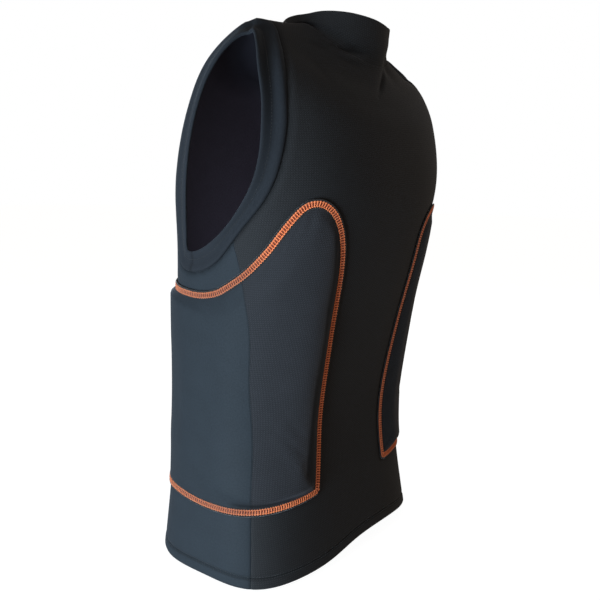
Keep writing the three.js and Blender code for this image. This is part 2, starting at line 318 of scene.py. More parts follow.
def even_along(line, shares, right):
    """Points of an open line at shares of its length, which is measured on the cloth."""
    angle = pad_angle(line[:, 0], right)
    reached = reached_along(form_point(angle, row_at_height(angle, line[:, 1])))
    return points_at(shares * reached[-1], reached, line[:, :2])


def close_at_ends(middle_count, edge_count, edge_share):
    """Shares from 0 to 1 that lie closer together near both ends."""
    near = np.linspace(0, edge_share, edge_count, endpoint=False)
    middle = np.linspace(edge_share, 1 - edge_share, middle_count)
    return np.concatenate((near, middle, 1 - near[::-1]))


def grid_bmesh(columns, rows):
    """A flat grid, with each point's column and row numbers."""
    bm = bmesh.new()
    bmesh.ops.create_grid(bm, x_segments=columns - 1, y_segments=rows - 1, size=1)
    place = np.array([v.co[:2] for v in bm.verts])
    numbers = np.rint((place + 1) / 2 * (columns - 1, rows - 1)).astype(int)
    return bm, numbers[:, 0], numbers[:, 1]


def set_points(mesh, points):
    """Puts measured points into the frame, whose origin is between the shoulders."""
    mesh.vertices.foreach_set("co", (points - SHOULDERS).astype(np.float32).ravel())
    mesh.update()


def set_weave(mesh, across, along):
    """The cloth's own metres, on which its weave is drawn."""
    corner = np.zeros(len(mesh.loops), int)
    mesh.loops.foreach_get("vertex_index", corner)
    place = np.stack((across[corner], along[corner]), axis=-1)
    layer = mesh.uv_layers.new(name="weave")
    layer.data.foreach_set("uv", place.astype(np.float32).ravel())


def set_layer(mesh, name, values):
    """A number for each point of a mesh."""
    layer = mesh.attributes.new(name, "FLOAT", "POINT")
    layer.data.foreach_set("value", values.astype(np.float32).ravel())


def lengths(points, axis):
    """How far along each line of a grid of points every point is."""
    steps = np.linalg.norm(np.diff(points, axis=axis), axis=-1)
    zero = np.zeros_like(np.take(steps, [0], axis=axis))
    return np.concatenate((zero, np.cumsum(steps, axis=axis)), axis=axis)


def new_mesh(bm, name):
    """A mesh from a finished build, which it frees."""
    mesh = bpy.data.meshes.new(name)
    bm.to_mesh(mesh)
    bm.free()
    return mesh


def new_piece(name, mesh):
    """A piece of the vest, smooth all over, on its one body."""
    piece = bpy.data.objects.new(name, mesh)
    bpy.context.scene.collection.objects.link(piece)
    mesh.polygons.foreach_set("use_smooth", np.ones(len(mesh.polygons), bool))
    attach(piece, "root")
    return piece


FOAM_THICKNESS = 0.0062
FOAM_SWELLS = (
    # added thickness, then the middle and the spread in degrees and in height
    (0.0012, -38, 26, 0.300, 0.060), (-0.0018, 44, 16, 0.410, 0.060),
    (-0.0040, -48, 24, 0.110, 0.035),
)
RIGHT_SWELLS = ((-0.0045, 26, 18, 0.100, 0.050), (-0.0034, 36, 20, 0.300, 0.065))
BACK_SWELL = 0.0062
BACK_SWELL_DEGREES = (43, 15)
BACK_SWELL_HEIGHTS = (0.400, 0.280)
FOAM_ROUNDING = 0.0004
LIP_RISE = 0.001
FOOT_FOLD_INWARD = 0.0070
FOOT_FOLD_WIDTH = 0.0022
FOOT_FOLD_DEPTH = 0.0022
FOOT_FOLD_START = (12, 17)
FOOT_FOLD_END = (44, 36)
BACK_EDGE_START = (8.5, 9.5)
BACK_EDGE_END = (17.5, 16.0)
# Painted light on the pad's face and crest, and painted shade on its sloped back edge and in the
# fold along its foot:
BEVEL_WIDTH = 0.0020
CREST_WIDTH = 0.014
FACE_DEGREES = (48, 18)
FACE_PAINTED_LIGHT = 0.52
CREST_PAINTED_LIGHT = 0.42
FOOT_FOLD_PAINTED_SHADE = 0.75
BEVEL_PAINTED_SHADE = (0.64, 0.10)
pad_columns = close_at_ends(84, 8, 0.05)
pad_rows = close_at_ends(84, 8, 0.06)


def pad_grid(line, right):
    """The angle in degrees and the height of each point of a pad, spread between its edges."""
    loop = np.vstack((line, line[:1]))
    first, second, third, fourth = (corner * OUTLINE_STEPS for corner in PAD_CORNERS)
    bottom = even_along(loop[first:second + 1], pad_columns, right)
    back_edge = even_along(loop[second:third + 1], pad_rows, right)
    top = even_along(loop[third:fourth + 1], 1 - pad_columns[::-1], right)[::-1]
    front_edge = even_along(loop[fourth:], 1 - pad_rows[::-1], right)[::-1]
    u = pad_columns[None, :, None]
    v = pad_rows[:, None, None]
    place = (1 - v) * bottom[None] + v * top[None]
    place = place + (1 - u) * front_edge[:, None] + u * back_edge[:, None]
    place = place - (1 - u) * (1 - v) * bottom[0] - u * (1 - v) * bottom[-1]
    place = place - (1 - u) * v * top[0] - u * v * top[-1]
    return place[..., 0], place[..., 1]


def foam_pad(name, right):
    """A pad: its cover over the foam, closed by a lining that lies on the panel."""
    line = pad_lines[right]
    degrees, height = pad_grid(line, right)
    angle = pad_angle(degrees, right)
    row = row_at_height(angle, height)
    base = form_point(angle, row)
    nearest = [pad_tree.find(point)[1:] for point in base.reshape(-1, 3)]
    inward = np.array([distance for _, distance in nearest]).reshape(row.shape)
    number = np.array([index for index, _ in nearest]).reshape(row.shape) % len(line)
    slope_width = line[number, 2]

    at_back = hump(degrees, *BACK_SWELL_DEGREES) * ramp(height, *BACK_SWELL_HEIGHTS)
    thickness = FOAM_THICKNESS + BACK_SWELL * at_back
    for added, middle, spread, level, reach in FOAM_SWELLS + RIGHT_SWELLS * right:
        thickness += added * hump(degrees, middle, spread) * hump(height, level, reach)
    sloped = PAD_LIP + (thickness - PAD_LIP) * np.maximum(inward - LIP_WIDTH, 0) / slope_width
    foam = -FOAM_ROUNDING * np.logaddexp(-sloped / FOAM_ROUNDING, -thickness / FOAM_ROUNDING)
    foam = np.where(inward < 1e-6, 0, np.maximum(foam, PAD_LIP * ramp(inward, 0, LIP_RISE)))
    foot_fold = hump(inward, FOOT_FOLD_INWARD, FOOT_FOLD_WIDTH) * (height < FOOT_HEIGHT)
    foot_fold = foot_fold * ramp(degrees, *FOOT_FOLD_START) * ramp(degrees, *FOOT_FOLD_END)
    foam -= FOOT_FOLD_DEPTH * foot_fold

    # The cover's tone: painted light on the face and the crest, painted shade on the back bevel and
    # in the foot fold.
    along_edge = number / OUTLINE_STEPS
    by_back_edge = ramp(along_edge, *BACK_EDGE_START) * ramp(along_edge, *BACK_EDGE_END)
    from_crest = inward - slope_width - LIP_WIDTH
    bevel = by_back_edge * ramp(from_crest, 0, -BEVEL_WIDTH)
    crest = by_back_edge * hump(from_crest, 0, CREST_WIDTH)
    face_and_crest_light = FACE_PAINTED_LIGHT * hump(degrees, *FACE_DEGREES) + CREST_PAINTED_LIGHT * crest
    tone = 1 + face_and_crest_light * (1 - bevel) - FOOT_FOLD_PAINTED_SHADE * foot_fold - BEVEL_PAINTED_SHADE[right] * bevel

    bm, column, row_number = grid_bmesh(len(pad_columns), len(pad_rows))
    mesh = new_mesh(bm, name)
    set_points(mesh, cloth_point(angle, row, PAD_CLEARANCE + foam)[row_number, column])
    set_weave(mesh, lengths(base, 1)[row_number, column], lengths(base, 0)[row_number, column])
    layers = {"behind_seam": behind_seam(base), "from_edge": inward, "tone": tone}
    for layer_name, values in layers.items():
        set_layer(mesh, layer_name, values[row_number, column])
    under = cloth_point(angle, row, np.full_like(row, PAD_CLEARANCE))
    under_mesh = mesh.copy()
    set_points(under_mesh, under[row_number, column])
    under_mesh.attributes["from_edge"].data.foreach_set("value", np.zeros(row.size, np.float32))
    bm = bmesh.new()
    bm.from_mesh(mesh)
    bm.from_mesh(under_mesh)
    bmesh.ops.remove_doubles(bm, verts=[v for v in bm.verts if v.is_boundary], dist=1e-5)
    bmesh.ops.recalc_face_normals(bm, faces=bm.faces)
    bm.to_mesh(mesh)
    bm.free()
    bpy.data.meshes.remove(under_mesh)
    return new_piece(name, mesh)


FILL_FRAMES = 20
FILL_PRESSURE = 4.0
MOST_SWELLING = 0.0012


def fill_with_foam(piece, held):
    """Lets the cover swell over its foam, held at its sewn edge and underneath."""
    before = np.array([v.co for v in piece.data.vertices])
    group = piece.vertex_groups.new(name="sewn")
    group.add([int(i) for i in np.flatnonzero(held)], 1.0, "REPLACE")
    cloth = piece.modifiers.new("cover", "CLOTH")
    cloth.settings.vertex_group_mass = "sewn"
    cloth.settings.quality = 6
    cloth.settings.tension_stiffness = 12
    cloth.settings.compression_stiffness = 12
    cloth.settings.bending_stiffness = 0.4
    cloth.settings.use_pressure = True
    cloth.settings.uniform_pressure_force = FILL_PRESSURE
    cloth.settings.effector_weights.gravity = 0
    cloth.collision_settings.use_collision = False
    cloth.point_cache.frame_start = 1
    cloth.point_cache.frame_end = FILL_FRAMES
    for number in range(1, FILL_FRAMES + 1):
        bpy.context.scene.frame_set(number)
    swollen = piece.evaluated_get(bpy.context.evaluated_depsgraph_get())
    after = np.array([v.co for v in swollen.data.vertices])
    piece.modifiers.remove(cloth)
    piece.vertex_groups.remove(group)
    bpy.context.scene.frame_set(1)
    moved = after - before
    length = np.linalg.norm(moved, axis=1, keepdims=True)
    moved *= np.minimum(1, MOST_SWELLING / np.maximum(length, 1e-9))
    piece.data.vertices.foreach_set("co", (before + moved).astype(np.float32).ravel())
    piece.data.update()


pads = [foam_pad("side_pad_cover_left", False), foam_pad("side_pad_cover_right", True)]
for pad in pads:
    from_edge = np.zeros(len(pad.data.vertices), np.float32)
    pad.data.attributes["from_edge"].data.foreach_get("value", from_edge)
    fill_with_foam(pad, from_edge < LIP_WIDTH)


class Strand:
    """A socket in a finish's node tree. Sums and products of strands add Math nodes."""

    def __init__(self, socket):
        self.socket = socket

    def node(self, kind, settings=None, inputs=None, output=0):
        tree = self.socket.id_data
        node = tree.nodes.new(kind)
        for name, value in (settings or {}).items():
            setattr(node, name, value)
        for name, value in (inputs or {}).items():
            if isinstance(value, Strand):
                tree.links.new(value.socket, node.inputs[name])
            else:
                node.inputs[name].default_value = value
        return Strand(node.outputs[output])

    def math(self, operation, *others):
        inputs = dict(enumerate((self, *others)))
        return self.node("ShaderNodeMath", {"operation": operation}, inputs)

    def __add__(self, other):
        return self.math("ADD", other)

    def __sub__(self, other):
        return self.math("SUBTRACT", other)

    def __rsub__(self, other):
        return self.node("ShaderNodeMath", {"operation": "SUBTRACT"}, {0: other, 1: self})

    def __mul__(self, other):
        return self.math("MULTIPLY", other)

    def __truediv__(self, other):
        return self.math("DIVIDE", other)

    __radd__ = __add__
    __rmul__ = __mul__


def new_finish(name, coordinates, settings):
    """An empty finish: its material, its shader and the first node of its tree."""
    material = bpy.data.materials.new(name)
    material.use_nodes = True
    shader = material.node_tree.nodes["Principled BSDF"]
    start = material.node_tree.nodes.new(coordinates)
    for key, value in settings.items():
        setattr(start, key, value)
    return material, shader, start


def set_surface(shader, colour, roughness, relief, strength, depth):
    """Joins a colour, a roughness and a relief to a shader."""
    bump = relief.node("ShaderNodeBump", None,
                       {"Strength": strength, "Distance": depth, "Height": relief})
    links = shader.id_data.links
    for strand, name in ((colour, "Base Color"), (roughness, "Roughness"), (bump, "Normal")):
        links.new(strand.socket, shader.inputs[name])


def noise(place, scale, detail):
    return place.node("ShaderNodeTexNoise", None,
                      {"Vector": place, "Scale": scale, "Detail": detail})


def smooth_step(value, low, high, start=0.0, end=1.0):
    """A soft change from start to end while the value goes from low to high."""
    return value.node("ShaderNodeMapRange", {"interpolation_type": "SMOOTHSTEP"},
                      {0: value, 1: low, 2: high, 3: start, 4: end})


def mixed_colour(share, first, second):
    return share.node("ShaderNodeMix", {"data_type": "RGBA"},
                      {0: share, 6: (*first, 1), 7: (*second, 1)}, 2)


MOTTLE = {"scale": 45.0, "detail": 3.0}
FIBRES = {"scale": 520.0, "detail": 2.0}
CLOTH_BUMP = {"strength": 0.5, "depth": 0.0004}


def new_cloth(name):
    """An empty cloth finish: places across and along the weave, a mottle and fibres."""
    material, shader, start = new_finish(name, "ShaderNodeUVMap", {"uv_map": "weave"})
    weave = Strand(start.outputs[0])
    x, y = (weave.node("ShaderNodeSeparateXYZ", None, {0: weave}, axis) for axis in (0, 1))
    return material, shader, x, y, noise(weave, **MOTTLE), noise(weave, **FIBRES)


def set_cloth(shader, colour, shade, roughness, relief, sheen, tint):
    """Joins a cloth to its shader, its shade scaled by the tone: mostly painted light and shade."""
    shade = shade * shade.node("ShaderNodeAttribute", {"attribute_name": "tone"}, None, 2)
    grey = shade.node("ShaderNodeCombineXYZ", None, {0: shade, 1: shade, 2: shade})
    tinted = shade.node("ShaderNodeVectorMath", {"operation": "MULTIPLY"}, {0: colour, 1: grey})
    set_surface(shader, tinted, roughness, relief, **CLOTH_BUMP)
    shader.inputs["Specular IOR Level"].default_value = 0.14
    shader.inputs["Sheen Weight"].default_value = sheen
    shader.inputs["Sheen Roughness"].default_value = 0.45
    shader.inputs["Sheen Tint"].default_value = (*tint, 1)


def knit_height(x, y, wale, course):
    """Loops of a knit: columns of slanted stitches, each wale wide and course high."""
    column = (x / wale).math("PINGPONG", 0.5)
    slant = y / course + column * 1.3
    loops = (slant * math.tau).math("SINE") * 0.5 + 0.5
    return loops * (0.35 + column * 1.3)


SMOOTH_COLOUR = (0.023, 0.029, 0.035)
PAD_KNIT_COLOUR = (0.0222, 0.0225, 0.0252)
COOL_SHEEN = (0.75, 0.85, 1.0)
SMOOTH_KNIT = (0.0010, 0.0008)
RIBBED_KNIT = (0.0027, 0.0023)
SEAM_CHANGE = 0.0004
SEAM_LINE = (0.0003, 0.0014)

material, shader, x, y, mottle, fibres = new_cloth("pad_cover_fabric")
side = x.node("ShaderNodeAttribute", {"attribute_name": "behind_seam"}, None, 2)
back_share = smooth_step(side, -SEAM_CHANGE, SEAM_CHANGE)
seam_line = 1 - smooth_step(side.math("ABSOLUTE"), *SEAM_LINE)
fine = knit_height(x, y, *SMOOTH_KNIT)
coarse = knit_height(x, y, *RIBBED_KNIT)
loops = fine * (1 - back_share) * 0.35 + coarse * back_share
set_cloth(
    shader,
    colour=mixed_colour(back_share, SMOOTH_COLOUR, PAD_KNIT_COLOUR),
    shade=0.27 + loops * 1.00 + mottle * 0.20 + fibres * 0.50 - seam_line * 0.25,
    roughness=0.66 + back_share * 0.12 + mottle * 0.06,
    relief=loops * 0.6 + mottle * 0.5 + fibres * 0.4 - seam_line * 0.9,
    sheen=0.10,
    tint=COOL_SHEEN,
)

for piece, node in zip(pads, ("side_pad_left", "side_pad_right")):
    piece.data.materials.append(material)
    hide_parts(node)


# Front and back panels
# The vest is a pull-over of black stretch knit in the form of a wearer's trunk. A smooth front
# runs round the flanks to a ribbed back. They meet in flat seams down the sides and over the
# shoulders, and the lower edge is turned in and stitched.

PANEL_WALL = 0.002
HEM_TURN = 0.0125
ARMHOLE_MIDDLE = np.array((0.010, 0.465))
ARMHOLE_RISE = 0.5
ARMHOLE_EDGE_X = 0.145
ARMHOLE_EDGE = np.array((
    # depth and height in the side view, from the shoulder down the back and up the front
    (0.030, 0.592), (0.043, 0.577), (0.054, 0.551), (0.064, 0.519), (0.068, 0.487),
    (0.068, 0.458), (0.062, 0.430), (0.048, 0.404), (0.027, 0.380), (0.002, 0.362),
    (-0.017, 0.354), (-0.031, 0.356), (-0.031, 0.377), (-0.029, 0.402), (-0.027, 0.435),
    (-0.024, 0.467), (-0.018, 0.501), (-0.010, 0.529), (0.001, 0.553), (0.015, 0.576),
))
BAND_SEAM = np.array((
    # the same for the seam along the band's outer edge
    (0.032, 0.622), (0.057, 0.592), (0.073, 0.563), (0.083, 0.533), (0.089, 0.500),
    (0.089, 0.468), (0.084, 0.438), (0.072, 0.411), (0.050, 0.383), (0.014, 0.345),
    (-0.019, 0.331), (-0.046, 0.338), (-0.054, 0.368), (-0.054, 0.402), (-0.052, 0.435),
    (-0.048, 0.469), (-0.042, 0.507), (-0.033, 0.541), (-0.018, 0.571), (0.006, 0.601),
))
BAND_STEPS = 12
armhole_edge = closed_line(ARMHOLE_EDGE, BAND_STEPS)
band_seam = closed_line(BAND_SEAM, BAND_STEPS)


def turn_and_reach(view):
    """The turn round the middle of the armhole, from the top to the back, and the distance."""
    aside = view - ARMHOLE_MIDDLE
    return np.arctan2(aside[..., 0], aside[..., 1]), np.linalg.norm(aside, axis=-1)


seam_turn, seam_reach = turn_and_reach(band_seam)


def seam_reach_at(turn):
    return np.interp(turn, seam_turn, seam_reach, period=math.tau)


def side_view(point):
    """Where a point of the left side shows, seen along the armhole's own rising line."""
    height = point[..., 2] - ARMHOLE_RISE * (point[..., 0] - ARMHOLE_EDGE_X)
    return np.stack((point[..., 1], height), axis=-1)


def beyond_band(view):
    """How far outside the band's seam a place in the side view is, and its turn."""
    turn, reach = turn_and_reach(view)
    return reach - seam_reach_at(turn), turn


FLANK_ROUNDS = 12
FLANK_STEP = 1e-4
MOST_TURN = 0.2
MOST_RISE = 0.3
FLANK_TOP = NECK_ROW - 0.02


def on_flank(view, angle, row):
    """The angle and row at which the form shows at a place in the side view."""
    for _ in range(FLANK_ROUNDS):
        here = side_view(form_point(angle, row))
        by_turn = (side_view(form_point(angle + FLANK_STEP, row)) - here) / FLANK_STEP
        by_rise = (side_view(form_point(angle, row + FLANK_STEP)) - here) / FLANK_STEP
        miss = view - here
        size = by_turn[..., 0] * by_rise[..., 1] - by_rise[..., 0] * by_turn[..., 1]
        size = np.where(np.abs(size) < 1e-9, 1e-9, size)
        turn_by = (by_rise[..., 1] * miss[..., 0] - by_rise[..., 0] * miss[..., 1]) / size
        rise_by = (by_turn[..., 0] * miss[..., 1] - by_turn[..., 1] * miss[..., 0]) / size
        angle = angle + np.clip(turn_by, -MOST_TURN, MOST_TURN)
        row = np.clip(row + np.clip(rise_by, -MOST_RISE, MOST_RISE), 0, FLANK_TOP)
    return angle, row


SEAM_LIMITS = (-70, 80)


def seam_angle(row):
    """The angle of the left side seam, or of the shoulder seam, at each row."""
    low, high = (np.full_like(row, math.radians(limit)) for limit in SEAM_LIMITS)
    return last_below(low, high, lambda angle: behind_seam(form_point(angle, row)) < 0)


def dip(distance, depth, width):
    """The lift of the cloth along a seam or a row of stitches, where it sinks in."""
    return -depth * hump(distance, 0, width)


# Painted shade per metre of crease depth, which becomes a painted highlight where the cloth rolls
# out:
CREASE_DARK = 240.0
TONE_RANGE = (0.3, 1.3)


def folded_tone(angle, row, dark):
    """Tone: painted shade in creases and where dark is given, a painted highlight on rolls."""
    return np.clip(1 - dark - CREASE_DARK * crease_depth(angle, row), *TONE_RANGE)


def add_inner_face(mesh, inner_face, inner_tone):
    """Gives a panel its wall: a second face inside the outer one, closed at the cut edges."""
    bm = bmesh.new()
    bm.from_mesh(mesh)
    number = bm.verts.layers.int.new("number")
    shade = bm.verts.layers.float["tone"]
    for vert in bm.verts:
        vert[number] = vert.index
    grown = bmesh.ops.extrude_face_region(bm, geom=bm.faces[:], use_keep_orig=True)["geom"]
    inner_verts = {thing for thing in grown if isinstance(thing, bmesh.types.BMVert)}
    for vert in inner_verts:
        vert.co = inner_face[vert[number]]
        vert[shade] = inner_tone[vert[number]]
    for face in bm.faces:
        face.material_index = int(all(vert in inner_verts for vert in face.verts))
    bmesh.ops.recalc_face_normals(bm, faces=bm.faces)
    bm.verts.layers.int.remove(number)
    bm.to_mesh(mesh)
    bm.free()


ARMHOLE_FLOOR = 0.25
ARMHOLE_FIRST_ROW = 3
CUT_EDGE = -0.0008
SIDE_SEAM_DIP = (0.0005, 0.0016)
BAND_SEAM_DIP = (0.0013, 0.0028)
BAND_SEAM_ROLL = (0.0006, 0.0040)
BAND_ROLL_AWAY = 0.006
HEM_STITCH_DIP = (0.0012, 0.0016)
HEM_EDGE_DIP = (0.0013, 0.0013)
HEM_THICKER = 0.0005
HEM_SLOPE = 0.003
PAD_SEAM_DIP = (0.0010, 0.0055)
# Painted shade along the hem's stitch groove and along the band's seam at the cut edge:
HEM_LINE_PAINTED_SHADE = 0.40
HEM_LINE_WIDTH = 0.0018
CUT_PAINTED_SHADE = 0.60
CUT_WIDTH = 0.0022
# Painted shade on the panels' inner face, towards the shoulders:
INSIDE_SHADE_ROWS = (6.9, 8.0)
INSIDE_PAINTED_SHADE = 0.62


def cloth_panel(name, from_angle, to_angle, columns, rows):
    """One panel: cloth from seam to seam and from hem to neck, cut out at both armholes."""
    share = columns[None, :]
    angle = from_angle[:, None] * (1 - share) + to_angle[:, None] * share
    row = np.repeat(rows[:, None], len(columns), axis=1)
    base = form_point(angle, row)
    across = lengths(base, 1)
    along = lengths(base, 0)
    to_seam = np.minimum(across, across[:, -1:] - across)
    middle = len(columns) // 2
    bm, column, row_number = grid_bmesh(len(columns), len(rows))
    kept = {"angle": angle, "row": row, "across": across - across[:, [middle]],
            "along": along, "to_seam": to_seam}
    for layer_name, values in kept.items():
        layer = bm.verts.layers.float.new(layer_name)
        for vert, value in zip(bm.verts, values[row_number, column]):
            vert[layer] = value
    point = base[row_number, column]
    point[:, 0] = np.abs(point[:, 0])
    inside = (beyond_band(side_view(point))[0] < CUT_EDGE) & (point[:, 2] > ARMHOLE_FLOOR)
    bm.verts.ensure_lookup_table()
    gone = [f for f in bm.faces if all(inside[v.index] for v in f.verts)]
    bmesh.ops.delete(bm, geom=gone, context="FACES")
    mesh = new_mesh(bm, name)

    value = {}
    for layer_name in kept:
        value[layer_name] = np.zeros(len(mesh.vertices), np.float32)
        mesh.attributes[layer_name].data.foreach_get("value", value[layer_name])
        value[layer_name] = value[layer_name].astype(float)
        mesh.attributes.remove(mesh.attributes[layer_name])
    angle, row = value["angle"], value["row"]
    right = np.cos(angle) < 0
    left_angle = np.where(right, math.pi - angle, angle)
    left_angle = (left_angle + math.pi) % math.tau - math.pi
    grow, turn = beyond_band(side_view(form_point(left_angle, row)))
    moved = (grow < CUT_EDGE) & (row > ARMHOLE_FIRST_ROW)
    turn = turn[moved]
    reach = seam_reach_at(turn) + CUT_EDGE
    edge = ARMHOLE_MIDDLE + reach[:, None] * np.stack((np.sin(turn), np.cos(turn)), axis=-1)
    left_angle[moved], row[moved] = on_flank(edge, left_angle[moved], row[moved])
    grow = np.maximum(grow, CUT_EDGE)
    angle = np.where(right, math.pi - left_angle, left_angle)

    above_hem = value["along"]
    lift = dip(value["to_seam"], *SIDE_SEAM_DIP)
    lift += dip(grow, *BAND_SEAM_DIP) - dip(grow - BAND_ROLL_AWAY, *BAND_SEAM_ROLL)
    lift += dip(above_hem - HEM_TURN, *HEM_STITCH_DIP) + dip(above_hem, *HEM_EDGE_DIP)
    lift += HEM_THICKER * ramp(above_hem, HEM_TURN, HEM_TURN - HEM_SLOPE)
    lift += dip(from_pad_seam(form_point(angle, row)), *PAD_SEAM_DIP)
    set_points(mesh, cloth_point(angle, row, lift))
    set_weave(mesh, value["across"], value["along"])
    # Painted shade in the hem's stitch groove and at the band's seam.
    dark = HEM_LINE_PAINTED_SHADE * hump(above_hem, HEM_TURN, HEM_LINE_WIDTH)
    dark += CUT_PAINTED_SHADE * hump(grow, 0, CUT_WIDTH)
    set_layer(mesh, "tone", folded_tone(angle, row, dark))
    inner_face = cloth_point(angle, row, lift - PANEL_WALL) - SHOULDERS
    # The inner face gets painted shade towards the shoulders.
    add_inner_face(mesh, inner_face, 1 - INSIDE_PAINTED_SHADE * ramp(row, *INSIDE_SHADE_ROWS))
    return new_piece(name, mesh)


HEM_TOP = 0.22
hem_part = np.linspace(0, HEM_TOP, 16, endpoint=False)
panel_rows = np.concatenate((hem_part, np.linspace(HEM_TOP, NECK_ROW, 175)))
seam = seam_angle(panel_rows)
back = cloth_panel("back_panel_cloth", seam, math.pi - seam,
                   close_at_ends(118, 7, 0.018), panel_rows)
front = cloth_panel("front_panel_cloth", math.pi - seam, math.tau + seam,
                    close_at_ends(164, 7, 0.012), panel_rows)


def cloth_finish(name, colour, knit, relief_size, roughness, sheen, tint):
    """Black stretch fabric with its knit, a faint mottle and a sheen."""
    material, shader, x, y, mottle, fibres = new_cloth(name)
    loops = knit_height(x, y, *knit)
    set_cloth(
        shader,
        colour=colour,
        shade=0.31 + loops * relief_size * 1.5 + mottle * 0.20 + fibres * 0.50,
        roughness=roughness + mottle * 0.06,
        relief=loops * relief_size + mottle * 0.5 + fibres * 0.4,
        sheen=sheen,
        tint=tint,
    )
    return material


KNIT_COLOUR = (0.0205, 0.0205, 0.0215)
KNIT_SHEEN = (0.9, 0.93, 1.0)
LINING_COLOUR = (0.075, 0.072, 0.098)
LINING_KNIT = (0.0012, 0.0010)
smooth_fabric = cloth_finish("smooth_stretch_fabric", SMOOTH_COLOUR, SMOOTH_KNIT,
                             relief_size=0.25, roughness=0.66, sheen=0.10, tint=COOL_SHEEN)
knit_fabric = cloth_finish("ribbed_knit_fabric", KNIT_COLOUR, RIBBED_KNIT,
                           relief_size=0.6, roughness=0.78, sheen=0.08, tint=KNIT_SHEEN)
lining = cloth_finish("brushed_lining", LINING_COLOUR, LINING_KNIT,
                      relief_size=0.3, roughness=0.85, sheen=0.0, tint=(1.0, 1.0, 1.0))
for piece, node, finish, slot_name, flat, area in (
    (front, "front_panel", smooth_fabric, "smooth_fabric", (0.62, 0.62), 0.29),
    (back, "back_panel", knit_fabric, "knit_fabric", (0.44, 0.62), 0.196),
):
    piece.data.materials.append(finish)
    piece.data.materials.append(lining)
    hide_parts(node)


# Collar
# A low soft collar, a double strip of the back's knit, stands on the neck edge of the panels. It
# is 20 to 50 mm high, lowest over the shoulders, slumps a little there and is creased at the nape.

COLLAR_WALL = 0.0024
COLLAR_FOOT = NECK_ROW - 0.06
COLLAR_PROUD = 0.0002
COLLAR_ROW_HEIGHT = 0.020
COLLAR_SEAM_DIP = (0.0005, 0.0020)


def closed_piece(name, grid, tone):
    """A ring of cloth from a grid of points, which closes round the ring and round its section."""
    stations, columns = grid.shape[:2]
    bm, column, row_number = grid_bmesh(columns + 1, stations + 1)
    column %= columns
    row_number %= stations
    mesh = new_mesh(bm, name)
    set_points(mesh, grid[row_number, column])
    set_weave(mesh, lengths(grid, 1)[row_number, column], lengths(grid, 0)[row_number, column])
    set_layer(mesh, "tone", tone[row_number, column])
    bm = bmesh.new()
    bm.from_mesh(mesh)
    bmesh.ops.remove_doubles(bm, verts=bm.verts, dist=1e-6)
    bmesh.ops.recalc_face_normals(bm, faces=bm.faces)
    bm.to_mesh(mesh)
    bm.free()
    return new_piece(name, mesh)


COLLAR_RISE = np.array((
    # angle in degrees, how much higher the rim stands there in metres
    (-180, -0.001), (-90, 0.000), (-30, -0.002), (-10, -0.003), (5, -0.0028), (20, 0.0),
    (35, 0.0022), (55, 0.0046), (80, 0.0046), (97, 0.0015), (112, -0.002), (140, -0.002),
    (180, -0.001),
))
collar_turn = np.linspace(-math.pi, math.pi, 240, endpoint=False)
collar_rise = smooth_through(COLLAR_RISE[:, 0], COLLAR_RISE[:, 1], np.degrees(collar_turn))
outer_rows = np.linspace(COLLAR_FOOT, RIM_ROW, 26)
stations = []
for row in outer_rows:
    above_foot = (row - COLLAR_FOOT) * COLLAR_ROW_HEIGHT
    stations.append((row, COLLAR_PROUD + dip(above_foot, *COLLAR_SEAM_DIP), 0.0))
half = COLLAR_WALL / 2
for bend in np.radians(np.arange(20, 180, 20)):
    stations.append((RIM_ROW, COLLAR_PROUD - half + half * math.cos(bend), half * math.sin(bend)))
for row in outer_rows[::-2]:
    stations.append((row, COLLAR_PROUD - COLLAR_WALL, 0.0))
grid = []
tone = []
for row, lift, rise in stations:
    rows = np.full_like(collar_turn, row)
    up = form_frame(collar_turn, rows)[1]
    ring = cloth_point(collar_turn, rows, np.full_like(rows, lift)) + up * rise
    ring[:, 2] += collar_rise * (row - NECK_ROW) / (RIM_ROW - NECK_ROW)
    grid.append(ring)
    # Painted shade in the collar's creases and a painted highlight on its rolls.
    tone.append(folded_tone(collar_turn, rows, 0))
collar = closed_piece("collar_cloth", np.array(grid), np.array(tone))
collar.data.materials.append(knit_fabric)
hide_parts("collar")


# Armhole bands
# Each armhole is bound with a strip of stretch fabric, folded over the edge and mostly 22 to
# 36 mm wide. It lies a little proud of the panels, with a soft ridge along each edge and a hollow
# between them.

BAND_SECTION = np.array((
    # share of the width from the armhole's edge, lift in metres, added lift at the upper back
    (1.000, -0.0010, 0.0000), (0.985, -0.0002, 0.0000), (0.96, 0.0006, 0.0002),
    (0.90, 0.0013, 0.0006), (0.82, 0.0014, 0.0009), (0.72, 0.0008, 0.0003),
    (0.62, -0.0001, -0.0009), (0.52, -0.0005, -0.0016), (0.40, -0.0002, -0.0013),
    (0.28, 0.0006, 0.0004), (0.18, 0.0014, 0.0024), (0.10, 0.0019, 0.0038),
    (0.04, 0.0018, 0.0044), (0.000, 0.0008, 0.0044), (0.005, -0.0006, 0.0038),
    (0.04, -0.0016, 0.0026), (0.30, -0.0026, -0.0002), (0.60, -0.0028, -0.0016),
    (0.90, -0.0025, 0.0000), (0.98, -0.0021, 0.0000),
))
BAND_FLARE = (1.0, 0.2)
UPPER_BACK = (1.0, 3.2)
SHOULDER_STEP = 0.3
BAND_OVERLAP = 0.0032
OVERLAP_SLANT = 0.52
OVERLAP_STEP = 0.12
OVERLAP_LENGTH = 1.3
OVERLAP_WIDTH = 0.92
BAND_JOINT = 10.25
JOINT_WIDTH = 0.08
JOINT_DEPTH = 0.0005
